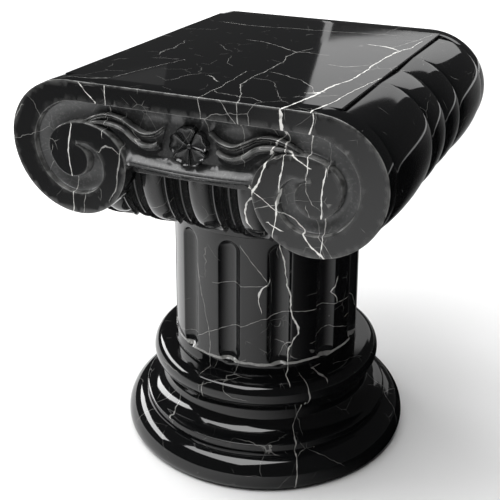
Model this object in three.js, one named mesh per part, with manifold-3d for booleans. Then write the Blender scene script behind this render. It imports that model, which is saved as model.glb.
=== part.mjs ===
// Ionic capital on a short fluted shaft and a round moulded base, carved as one block of black marble.
// Millimetres, +Z up. The origin is at the middle of the underside, and the volutes face -Y and +Y.
import * as THREE from "three";
import { mergeVertices } from "three/addons/utils/BufferGeometryUtils.js";
import Module from "manifold-3d";

const wasm = await Module();
wasm.setup();

// Overall sizes.
const height = 450;
const halfDepth = 190; // from the axis to the flat faces of the volutes
const topHalfWidth = 142; // from the axis to the straight side edge of the top

// Round base, from the ground up: large torus, fine fillet, cove, small torus.
const baseRadius = 169.5;
const underTuck = { width: 9, height: 11 }; // the large torus turns under to the flat underside
const lowerTorusTop = 37;
const filletRadius = 147;
const filletTop = 46.5;
const filletStep = { width: 4, height: 1 }; // the cove's foot starts this far in and up from the fillet
const coveRadius = 119; // the cove's narrowest place
const coveFloor = 68; // height of that place
const coveTop = 83;
const coveTopRadius = 122;
const upperTorusRadius = 135;
const upperTorusTop = 112.5;
const upperTorusRound = 12; // how far in its rounded edge starts

// Shaft, its flutes and the plain neck above them.
const shaftFootRadius = 108.5;
const shaftTopRadius = 106;
const fluteCount = 12;
const flutePhase = 0.02; // radians: no flute stands quite square to the faces
const fluteRadius = 14;
const fluteDepth = 9;
const fluteFoot = 125;
const fluteHead = 273;
const neckRadius = 110.5;
const neckBottom = 279;
const neckStep = 2;

// Echinus: the quarter-round course of eggs, straight along each side.
const echinusBottom = 293;
const echinusHalfDepth = 171; // at its top, under the strip
const echinusHalfWidth = 122; // hidden under the rolls
const echinusSideTop = 326; // where its sides meet the rolls
const stripBottom = 363;
const stripTop = 373;
const stripHalfDepth = 177;
const stripHalfWidth = 100;
const eggCount = 5;
const eggPitch = 52;
const egg = { halfWidth: 14.5, halfDepth: 12, halfHeight: 31, y: 155, z: 337, lean: 0.5 };

// Volutes. Each edge is a chain of quarter-ellipses, given by its highest, outermost, lowest and
// innermost places in turn as [x, z]. Both chains end at the curled tip of the channel.
const fasciaBottom = 430; // the plain band along the top, over the channel
const channelTip = [121.5, 386];
const bandEdge = [
  [126, height], [195.5, 385], [124, 314], [66, 371], [113, 410], [153, 382], [128, 352.5], [108, 371], channelTip,
];
const channelEdge = [[118, fasciaBottom], [169, 383], [124, 335.5], [91.5, 364], [113, 388.5], channelTip];
const channelDepth = 8;
const flangeThickness = 22;

// Rolls at the sides, round an axis along Y. Their creases are given as { y, radius } from the
// middle outwards, and each swell between two creases by how far it stands out at the side.
const rollAxis = { x: 133, z: 386 };
const creases = [{ y: 0, radius: 62 }, { y: 56, radius: 64 }, { y: 168, radius: 62.5 }];
const swells = [{ height: 3.5, steps: 4 }, { height: 5, steps: 6 }];
const swellFrom = 15; // degrees from the top: the swells rise out of the plain roll here
const swellFull = 75; // and are full from here
const slabThickness = 4.5; // the thin plate of the top stands over the rolls

// Leaves and flower in the channel between the volutes, right half, as [x, z].
const leafUpper = [[118, 413], [92, 421], [55, 408], [29, 418]];
const leafLower = [[35, 393], [57, 385], [80, 399], [112, 409]];
const leafRelief = 6;
const flower = { z: 401, spread: 11.5, petals: 5, petalRadius: 8, relief: 6 };

// Fineness of the facets.
const ringSteps = 60;
const rollSteps = 36;
const arcSteps = 5; // in a quarter of a volute's edge
const profileSteps = { tuck: 3, largeTorus: 6, cove: 5, smallTorus: 4 }; // in a quarter of each moulding
const fluteSteps = { end: 3, round: 14 };
const echinusSteps = { front: 7, side: 4 };
const leafSteps = { upper: 12, lower: 9 };
const eggSteps = { round: 10, tall: 8 };
const petalSteps = { round: 8, tall: 6 };

const overshoot = 5; // cutters run this far past what they cut
const lap = 1; // pieces of the block run this far into each other
const mergeDistance = 1e-3;

const marble = new THREE.MeshStandardMaterial({ color: 0x141415, roughness: 0.12, metalness: 0 });

// A closed geometry as a solid. Vertices are shared by place, and facets without area are left out.
function solid(geometry) {
  const bare = geometry.index ? geometry.toNonIndexed() : geometry.clone();
  bare.deleteAttribute("normal");
  bare.deleteAttribute("uv");
  const merged = mergeVertices(bare, mergeDistance);
  const index = merged.index.array;
  const triVerts = [];
  for (let i = 0; i < index.length; i += 3) {
    const [a, b, c] = index.slice(i, i + 3);
    if (a !== b && b !== c && c !== a) triVerts.push(a, b, c);
  }
  return new wasm.Manifold(
    new wasm.Mesh({
      numProp: 3,
      vertProperties: merged.attributes.position.array,
      triVerts: new Uint32Array(triVerts),
    }),
  );
}

function joined(solids) {
  return solids.reduce((all, one) => all.add(one));
}

function geometryOf(manifold) {
  const mesh = manifold.getMesh();
  const geometry = new THREE.BufferGeometry();
  geometry.setAttribute("position", new THREE.BufferAttribute(mesh.vertProperties, mesh.numProp));
  geometry.setIndex(new THREE.BufferAttribute(mesh.triVerts, 1));
  geometry.computeVertexNormals();
  return geometry;
}

// Points on the quarter-ellipse from a to b, without a. It leaves a level or upright.
function quarter(a, b, leavesLevel, steps) {
  const points = [];
  for (let i = 1; i <= steps; i += 1) {
    const t = (i / steps) * (Math.PI / 2);
    const first = Math.sin(t);
    const last = 1 - Math.cos(t);
    const [alongX, alongZ] = leavesLevel ? [first, last] : [last, first];
    points.push([a[0] + (b[0] - a[0]) * alongX, a[1] + (b[1] - a[1]) * alongZ]);
  }
  return points;
}

// A chain of quarter-ellipses that starts level and turns upright and level by turns.
function chain(corners) {
  const points = [corners[0]];
  for (let i = 1; i < corners.length; i += 1) {
    points.push(...quarter(corners[i - 1], corners[i], i % 2 === 1, arcSteps));
  }
  return points;
}

function mirrored(points) {
  return points.map(([x, z]) => [-x, z]).reverse();
}

function spline(points, steps) {
  const curve = new THREE.SplineCurve(points.map(([x, z]) => new THREE.Vector2(x, z)));
  return curve.getPoints(steps).map((p) => [p.x, p.y]);
}

// A plate with an [x, z] outline, from y0 to y1.
function plate(outline, y0, y1) {
  const shape = new THREE.Shape(outline.map(([x, z]) => new THREE.Vector2(x, z)));
  const geometry = new THREE.ExtrudeGeometry(shape, { depth: y1 - y0, bevelEnabled: false });
  geometry.rotateX(Math.PI / 2);
  geometry.translate(0, y1, 0);
  return solid(geometry);
}

// A block centred on the axis, from z0 to z1.
function block(halfX, halfY, z0, z1) {
  const geometry = new THREE.BoxGeometry(2 * halfX, 2 * halfY, z1 - z0);
  geometry.translate(0, 0, (z0 + z1) / 2);
  return solid(geometry);
}

// Base, shaft and neck, turned about Z.
function turnedBody() {
  const flatRadius = baseRadius - underTuck.width;
  const ledge = [filletRadius - filletStep.width, filletTop + filletStep.height];
  const roundStart = upperTorusRadius - upperTorusRound;
  const torusMiddle = [upperTorusRadius, (coveTop + upperTorusTop) / 2];
  const profile = [
    [0, 0],
    [flatRadius, 0],
    ...quarter([flatRadius, 0], [baseRadius, underTuck.height], true, profileSteps.tuck),
    ...quarter([baseRadius, underTuck.height], [filletRadius, lowerTorusTop], false, profileSteps.largeTorus),
    [filletRadius, filletTop],
    ledge,
    ...quarter(ledge, [coveRadius, coveFloor], true, profileSteps.cove),
    [coveTopRadius, coveTop],
    [roundStart, coveTop],
    ...quarter([roundStart, coveTop], torusMiddle, true, profileSteps.smallTorus),
    ...quarter(torusMiddle, [roundStart, upperTorusTop], false, profileSteps.smallTorus),
    [shaftFootRadius, upperTorusTop],
    [shaftTopRadius, neckBottom],
    [neckRadius, neckBottom + neckStep],
    [neckRadius, echinusBottom + lap],
    [0, echinusBottom + lap],
  ];
  const geometry = new THREE.LatheGeometry(
    profile.map(([r, z]) => new THREE.Vector2(r, z)),
    ringSteps,
  );
  geometry.rotateX(Math.PI / 2);
  return solid(geometry);
}

// A capsule that stands beside the shaft and cuts one flute with round ends.
function fluteCutter(angle) {
  const straight = fluteHead - fluteFoot - 2 * fluteRadius;
  const geometry = new THREE.CapsuleGeometry(fluteRadius, straight, fluteSteps.end, fluteSteps.round);
  geometry.rotateX(Math.PI / 2);
  geometry.translate(shaftFootRadius - fluteDepth + fluteRadius, 0, (fluteHead + fluteFoot) / 2);
  geometry.rotateZ(angle);
  return solid(geometry);
}

function shaftAndBase() {
  let body = turnedBody();
  for (let i = 0; i < fluteCount; i += 1) {
    body = body.subtract(fluteCutter(flutePhase + (i / fluteCount) * 2 * Math.PI));
  }
  return body;
}

// The block under the rolls: quarter-round along its front and back, rounded under at its sides.
function echinus() {
  const foot = [neckRadius, echinusBottom];
  const frontOutline = [foot, ...quarter(foot, [echinusHalfDepth, stripBottom], true, echinusSteps.front)];
  const sideRound = quarter(foot, [echinusHalfWidth, echinusSideTop], true, echinusSteps.side);
  const sideOutline = [foot, ...sideRound, [echinusHalfWidth, stripBottom]];
  const along = plate([...frontOutline, ...mirrored(frontOutline)], -echinusHalfWidth, echinusHalfWidth);
  const across = plate([...sideOutline, ...mirrored(sideOutline)], -halfDepth, halfDepth);
  return along.rotate([0, 0, 90]).intersect(across);
}

function eggs() {
  const all = [];
  for (let i = 0; i < eggCount; i += 1) {
    for (const side of [-1, 1]) {
      const geometry = new THREE.SphereGeometry(1, eggSteps.round, eggSteps.tall);
      geometry.rotateX(Math.PI / 2);
      geometry.scale(egg.halfWidth, egg.halfDepth, egg.halfHeight);
      geometry.rotateX(side * -egg.lean);
      geometry.translate((i - (eggCount - 1) / 2) * eggPitch, side * egg.y, egg.z);
      all.push(solid(geometry));
    }
  }
  return all;
}

// Stations along half a roll, as { y, radius, swell }, from the middle to the flange.
function rollStations() {
  const stations = [{ ...creases[0], swell: 0 }];
  swells.forEach(({ height: peak, steps }, i) => {
    for (let k = 1; k <= steps; k += 1) {
      const t = k / steps;
      stations.push({
        y: creases[i].y + (creases[i + 1].y - creases[i].y) * t,
        radius: creases[i].radius + (creases[i + 1].radius - creases[i].radius) * t,
        swell: peak * Math.sin(Math.PI * t),
      });
    }
  });
  return stations;
}

// A roll is turned about Y at its crease radius, and then the swells are raised away from the top.
function roll(side) {
  const half = rollStations();
  const stations = [...half.slice(1).reverse().map((s) => ({ ...s, y: -s.y })), ...half];
  const end = halfDepth - flangeThickness + lap;
  const first = stations[0].radius;
  const closing = [[0, -end], [first, -end]];
  const profile = [...closing, ...stations.map((s) => [s.radius, s.y]), [first, end], [0, end]];
  const geometry = new THREE.LatheGeometry(
    profile.map(([r, y]) => new THREE.Vector2(r, y)),
    rollSteps,
  );
  const place = geometry.getAttribute("position");
  for (let i = 0; i < place.count; i += 1) {
    const station = stations[(i % profile.length) - closing.length];
    const fromTop = THREE.MathUtils.radToDeg(Math.abs(Math.atan2(place.getX(i), place.getZ(i))));
    const rise = station ? station.swell * THREE.MathUtils.smoothstep(fromTop, swellFrom, swellFull) : 0;
    const scale = station ? 1 + rise / station.radius : 1;
    place.setXYZ(i, place.getX(i) * scale, place.getY(i), place.getZ(i) * scale);
  }
  geometry.translate(side * rollAxis.x, 0, rollAxis.z);
  return solid(geometry);
}

// The flat disc of a volute before its channel is cut: one turn of the band's edge, closed up to the top.
function flangeOutline() {
  const turn = chain(bandEdge.slice(0, 5));
  return [...turn, [bandEdge[4][0], height]];
}

// Right half of the recess: down the channel to its tip, and back along the band to the strip.
function recessHalf() {
  const out = chain(channelEdge);
  const back = chain(bandEdge).slice(3 * arcSteps, -1);
  return [...out, ...back.reverse()];
}

// Leaf and flower stand up from the floor of the recess, on the front (-1) or the back (1).
function ornaments(side) {
  const floor = halfDepth - channelDepth;
  const ends = [side * (floor - lap), side * (floor + leafRelief)].sort((a, b) => a - b);
  const leaf = [...spline(leafUpper, leafSteps.upper), ...spline(leafLower, leafSteps.lower)];
  const all = [plate(leaf, ...ends), plate(mirrored(leaf), ...ends)];
  for (let i = 0; i < flower.petals; i += 1) {
    const angle = Math.PI / 2 + (i / flower.petals) * 2 * Math.PI;
    const geometry = new THREE.SphereGeometry(1, petalSteps.round, petalSteps.tall);
    geometry.scale(flower.petalRadius, flower.relief, flower.petalRadius);
    geometry.translate(Math.cos(angle) * flower.spread, side * floor, flower.z + Math.sin(angle) * flower.spread);
    all.push(solid(geometry));
  }
  return all;
}

function capital() {
  const flange = flangeOutline();
  const inner = halfDepth - flangeThickness;
  const discs = [-1, 1].flatMap((side) => {
    const ends = [side * inner, side * halfDepth].sort((a, b) => a - b);
    return [plate(flange, ...ends), plate(mirrored(flange), ...ends)];
  });
  const slabBottom = height - slabThickness;
  const aboveRolls = block(2 * rollAxis.x, inner + overshoot, slabBottom, height + 2 * overshoot);
  const rolls = roll(-1).add(roll(1)).subtract(aboveRolls);
  const right = recessHalf();
  const recess = [...right, ...mirrored(right)];
  const recessCutters = [-1, 1].map((side) => {
    const ends = [side * (halfDepth - channelDepth), side * (halfDepth + overshoot)].sort((a, b) => a - b);
    return plate(recess, ...ends);
  });
  const carved = joined([
    block(rollAxis.x, halfDepth, stripTop, height),
    block(topHalfWidth, inner, slabBottom, height),
    rolls,
    ...discs,
  ]).subtract(joined(recessCutters));
  const strip = block(stripHalfWidth, stripHalfDepth, stripBottom, stripTop);
  return joined([carved, strip, echinus(), ...eggs(), ...ornaments(-1), ...ornaments(1)]);
}

const pedestal = new THREE.Mesh(geometryOf(shaftAndBase().add(capital())), marble);
pedestal.name = "ionic_capital_pedestal";

const model = new THREE.Group();
model.add(pedestal);

export default model;
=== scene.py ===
import math
import re

import bpy
import numpy as np
from mathutils import Matrix, Vector
from mathutils.geometry import delaunay_2d_cdt


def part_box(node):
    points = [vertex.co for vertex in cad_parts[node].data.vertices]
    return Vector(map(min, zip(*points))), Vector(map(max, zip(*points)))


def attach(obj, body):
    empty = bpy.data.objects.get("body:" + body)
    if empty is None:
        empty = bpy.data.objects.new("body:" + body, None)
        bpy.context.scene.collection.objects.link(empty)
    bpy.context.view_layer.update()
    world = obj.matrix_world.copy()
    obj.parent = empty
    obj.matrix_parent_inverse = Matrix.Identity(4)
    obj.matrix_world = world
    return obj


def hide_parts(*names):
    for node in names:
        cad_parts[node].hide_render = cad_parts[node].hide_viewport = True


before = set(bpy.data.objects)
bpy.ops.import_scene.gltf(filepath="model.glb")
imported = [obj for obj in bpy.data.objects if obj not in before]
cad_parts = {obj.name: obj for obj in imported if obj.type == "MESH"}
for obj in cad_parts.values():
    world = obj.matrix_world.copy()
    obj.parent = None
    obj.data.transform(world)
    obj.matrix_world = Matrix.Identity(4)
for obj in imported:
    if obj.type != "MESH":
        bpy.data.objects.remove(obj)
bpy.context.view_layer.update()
nodeName = "ionic_capital_pedestal"
mm = 0.001
boxLow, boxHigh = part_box(nodeName)
topZ = boxHigh[2] / mm
faceY = boxHigh[1] / mm  # from the axis to the flat faces of the volutes
voluteX = boxHigh[0] / mm  # from the axis to the outermost point of a volute
print("frame loaded, top at", round(topZ), "mm")


class Wire:  # one socket in a node tree, so that node maths reads as arithmetic
    def __init__(self, tree, socket):
        self.tree = tree
        self.socket = socket

    @classmethod
    def node(cls, tree, kind, settings=None, inputs=None, output=0):
        made = tree.nodes.new(kind)
        for name, value in (settings or {}).items():
            if name == "stops":  # position, grey and alpha of each stop
                stops = made.color_ramp.elements
                for position, grey, alpha in value[1:-1]:
                    stops.new(position)
                for stop, (position, grey, alpha) in zip(stops, value):
                    stop.position = position
                    stop.color = (grey, grey, grey, alpha)
            else:
                setattr(made, name, value)
        for key, value in (inputs or {}).items():
            if isinstance(value, Wire):
                tree.links.new(value.socket, made.inputs[key])
            else:
                made.inputs[key].default_value = value
        return cls(tree, made.outputs[output])

    def other(self, output):  # another output of the same node
        return Wire(self.tree, self.socket.node.outputs[output])

    def math(self, operation, *others):
        values = dict(enumerate([self, *others]))
        return Wire.node(self.tree, "ShaderNodeMath", {"operation": operation}, values)

    def reflected(self, operation, other):
        return Wire.node(self.tree, "ShaderNodeMath", {"operation": operation}, {0: other, 1: self})

    def __add__(self, other):
        return self.math("ADD", other)

    def __radd__(self, other):
        return self.reflected("ADD", other)

    def __sub__(self, other):
        return self.math("SUBTRACT", other)

    def __rsub__(self, other):
        return self.reflected("SUBTRACT", other)

    def __mul__(self, other):
        return self.math("MULTIPLY", other)

    def __rmul__(self, other):
        return self.reflected("MULTIPLY", other)

    def __truediv__(self, other):
        return self.math("DIVIDE", other)

    def __rtruediv__(self, other):
        return self.reflected("DIVIDE", other)

    def __pow__(self, other):
        return self.math("POWER", other)

    def __lt__(self, other):
        return self.math("LESS_THAN", other)

    def __gt__(self, other):
        return self.math("GREATER_THAN", other)

    def __abs__(self):
        return self.math("ABSOLUTE")

    def smooth(self, start, end):  # 0 below start, 1 above end, rounded between them
        values = {0: self, 1: start, 2: end}
        return Wire.node(self.tree, "ShaderNodeMapRange", {"interpolation_type": "SMOOTHSTEP"}, values)

    def vector(self, operation, *others, output=0):
        values = dict(enumerate([self, *others]))
        return Wire.node(self.tree, "ShaderNodeVectorMath", {"operation": operation}, values, output)

    def scaled(self, factor):
        return Wire.node(self.tree, "ShaderNodeVectorMath", {"operation": "SCALE"},
                         {0: self, "Scale": factor})


def chosen(condition, yes, no):  # yes where the condition is 1, no where it is 0
    return no + condition * (yes - no)


def part(wire, axis):
    return Wire.node(wire.tree, "ShaderNodeSeparateXYZ", {}, {0: wire}, axis)


def xyz(tree, x, y, z):
    return Wire.node(tree, "ShaderNodeCombineXYZ", {}, {0: x, 1: y, 2: z})


# Curves in millimetres. Mouldings and volutes are chains of quarter-ellipses.
def quarter(a, b, leavesLevel, steps):
    turn = np.linspace(0, math.pi / 2, steps + 1)[1:]
    shares = [np.sin(turn), 1 - np.cos(turn)]
    alongX, alongZ = shares if leavesLevel else shares[::-1]
    return [(a[0] + (b[0] - a[0]) * u, a[1] + (b[1] - a[1]) * v) for u, v in zip(alongX, alongZ)]


def chain(corners, steps):
    points = [tuple(corners[0])]
    for i in range(1, len(corners)):
        points += quarter(corners[i - 1], corners[i], i % 2 == 1, steps)
    return points


def softCorner(before, corner, after, radius, steps=4):
    before, corner, after = (np.array(p, float) for p in (before, corner, after))
    start = corner + (before - corner) * radius / np.linalg.norm(before - corner)
    end = corner + (after - corner) * radius / np.linalg.norm(after - corner)
    shares = np.linspace(0, 1, steps + 1)
    return [tuple(start * (1 - t) ** 2 + 2 * corner * t * (1 - t) + end * t * t) for t in shares]


def resampled(points, spacing):
    points = np.array(points, float)
    lengths = np.concatenate([[0], np.cumsum(np.linalg.norm(np.diff(points, axis=0), axis=1))])
    stations = np.linspace(0, lengths[-1], max(2, round(lengths[-1] / spacing)) + 1)
    return np.column_stack([np.interp(stations, lengths, points[:, i]) for i in range(points.shape[1])])


def spline(points, count):  # Catmull-Rom through the points
    points = np.array(points, float)
    padded = np.vstack([2 * points[0] - points[1], points, 2 * points[-1] - points[-2]])
    out = []
    for place in np.linspace(0, len(points) - 1, count):
        i = min(int(place), len(points) - 2)
        t = place - i
        a, b, c, d = padded[i : i + 4]
        out.append(b + 0.5 * t * (c - a + t * (2 * a - 5 * b + 4 * c - d + t * (3 * (b - c) + d - a))))
    return np.array(out)


def distanceTo(places, curve):
    curve = np.array(curve, float)
    a, b = curve[:-1], curve[1:]
    run = b - a
    toPlace = places[:, None, :] - a[None]
    share = np.clip((toPlace * run).sum(2) / np.maximum((run * run).sum(1), 1e-9), 0, 1)
    return np.linalg.norm(toPlace - share[..., None] * run, axis=2).min(axis=1)


def isInside(places, outline):
    outline = np.array(outline, float)
    a, b = outline, np.roll(outline, -1, axis=0)
    x, z = places[:, :1], places[:, 1:]
    crosses = (a[:, 1] > z) != (b[:, 1] > z)
    rise = np.where(b[:, 1] == a[:, 1], 1e-9, b[:, 1] - a[:, 1])
    return (crosses & (x < a[:, 0] + (z - a[:, 1]) * (b[:, 0] - a[:, 0]) / rise)).sum(axis=1) % 2 == 1


# Every shell of the block is: places in millimetres, faces, how far each place is carved and matt,
# and how pale its edges are: partly wear, partly a painted highlight.
shells = []


def addShell(name, places, faces, carved=0.0, worn=0.0):
    places = np.array(places, float)
    carved, worn = (np.broadcast_to(np.array(values, float), len(places)) for values in (carved, worn))
    shells.append((places, faces, carved, worn))
    print(name, len(faces), "faces")


def turnedRound(shell):  # the same shell on the other side of the axis
    places, faces, *rest = shell
    return places * (-1, -1, 1), faces, *rest


def gridFaces(rows, columns, closed=False):
    faces = []
    for i in range(rows - 1):
        for j in range(columns if closed else columns - 1):
            k = (j + 1) % columns
            faces.append((i * columns + j, i * columns + k, (i + 1) * columns + k, (i + 1) * columns + j))
    return faces


# Geometry Nodes helpers. A tree's sizes are its named inputs.
def inputsOf(facts, *whole):  # values under the names of a tree's inputs: "axisX" is "Axis X"
    names = {key: re.sub("([A-Z])", r" \1", key).title() for key in facts}
    return {names[key]: value if key in whole else float(value) for key, value in facts.items()}


def newTree(name, sizes):
    tree = bpy.data.node_groups.new(name, "GeometryNodeTree")
    tree.interface.new_socket("Shape", in_out="INPUT", socket_type="NodeSocketGeometry")
    for label, value in sizes.items():
        kind = "NodeSocketInt" if isinstance(value, int) else "NodeSocketFloat"
        tree.interface.new_socket(label, in_out="INPUT", socket_type=kind).default_value = value
    tree.interface.new_socket("Shape", in_out="OUTPUT", socket_type="NodeSocketGeometry")
    entry = tree.nodes.new("NodeGroupInput")
    return tree, {socket.name: Wire(tree, socket) for socket in entry.outputs if socket.name}


def finishTree(tree, shape, material):
    shape = Wire.node(tree, "GeometryNodeRealizeInstances", {}, {"Geometry": shape})
    shape = Wire.node(tree, "GeometryNodeMergeByDistance", {}, {"Geometry": shape, "Distance": 0.01})
    shape = Wire.node(tree, "GeometryNodeSetMaterial", {}, {"Geometry": shape, "Material": material})
    ending = tree.nodes.new("NodeGroupOutput")
    tree.links.new(shape.socket, ending.inputs[0])


def grown(tree, sizes, hostPlaces=()):  # the tree's shape as a plain mesh
    host = bpy.data.meshes.new("host")
    host.from_pydata([tuple(p) for p in hostPlaces], [], [])
    maker = bpy.data.objects.new("maker", host)
    bpy.context.scene.collection.objects.link(maker)
    modifier = maker.modifiers.new("shape", "NODES")
    modifier.node_group = tree
    for item in tree.interface.items_tree:
        if item.item_type == "SOCKET" and item.in_out == "INPUT" and item.name in sizes:
            modifier[item.identifier] = sizes[item.name]
    evaluated = maker.evaluated_get(bpy.context.evaluated_depsgraph_get())
    mesh = bpy.data.meshes.new_from_object(evaluated)
    maker.modifiers.remove(modifier)
    bpy.data.objects.remove(maker)
    places = np.zeros(len(mesh.vertices) * 3)
    mesh.vertices.foreach_get("co", places)
    faces = [tuple(face.vertices) for face in mesh.polygons]
    carved = np.zeros(len(mesh.vertices))
    if "carved" in mesh.attributes:
        mesh.attributes["carved"].data.foreach_get("value", carved)
    bpy.data.meshes.remove(mesh)
    return places.reshape(-1, 3), faces, carved


def gridOf(tree, columns, rows):
    grid = {"Size X": 1.0, "Size Y": 1.0, "Vertices X": columns, "Vertices Y": rows}
    mesh = Wire.node(tree, "GeometryNodeMeshGrid", {}, grid)
    place = Wire.node(tree, "GeometryNodeInputPosition")
    return mesh, part(place, 0) + 0.5, part(place, 1) + 0.5


def setPlaces(tree, mesh, place):
    return Wire.node(tree, "GeometryNodeSetPosition", {}, {"Geometry": mesh, "Position": place})


# Black marble. All patterns are solid, in millimetres of Object coordinates, so veins run through
# the block and turn over its edges.
marble = {
    "polished": (0.0036, 0.0038, 0.0041),
    "worked": (0.078, 0.079, 0.080),  # cut and honed, not polished
    "worn": (0.20, 0.20, 0.195),  # pale sharp edges: partly wear, partly a painted highlight
    "veinColour": (0.80, 0.79, 0.76),
    "roughness": 0.045,
    "workedRoughness": 0.36,
    # how far each set of veins reaches, in millimetres of Object coordinates
    "frontBehind": -104, "rimBehind": -176, "topFrom": 449.3, "roundTo": 292,
    "shaftRadius": 107, "frontArc": 168,
}
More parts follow.
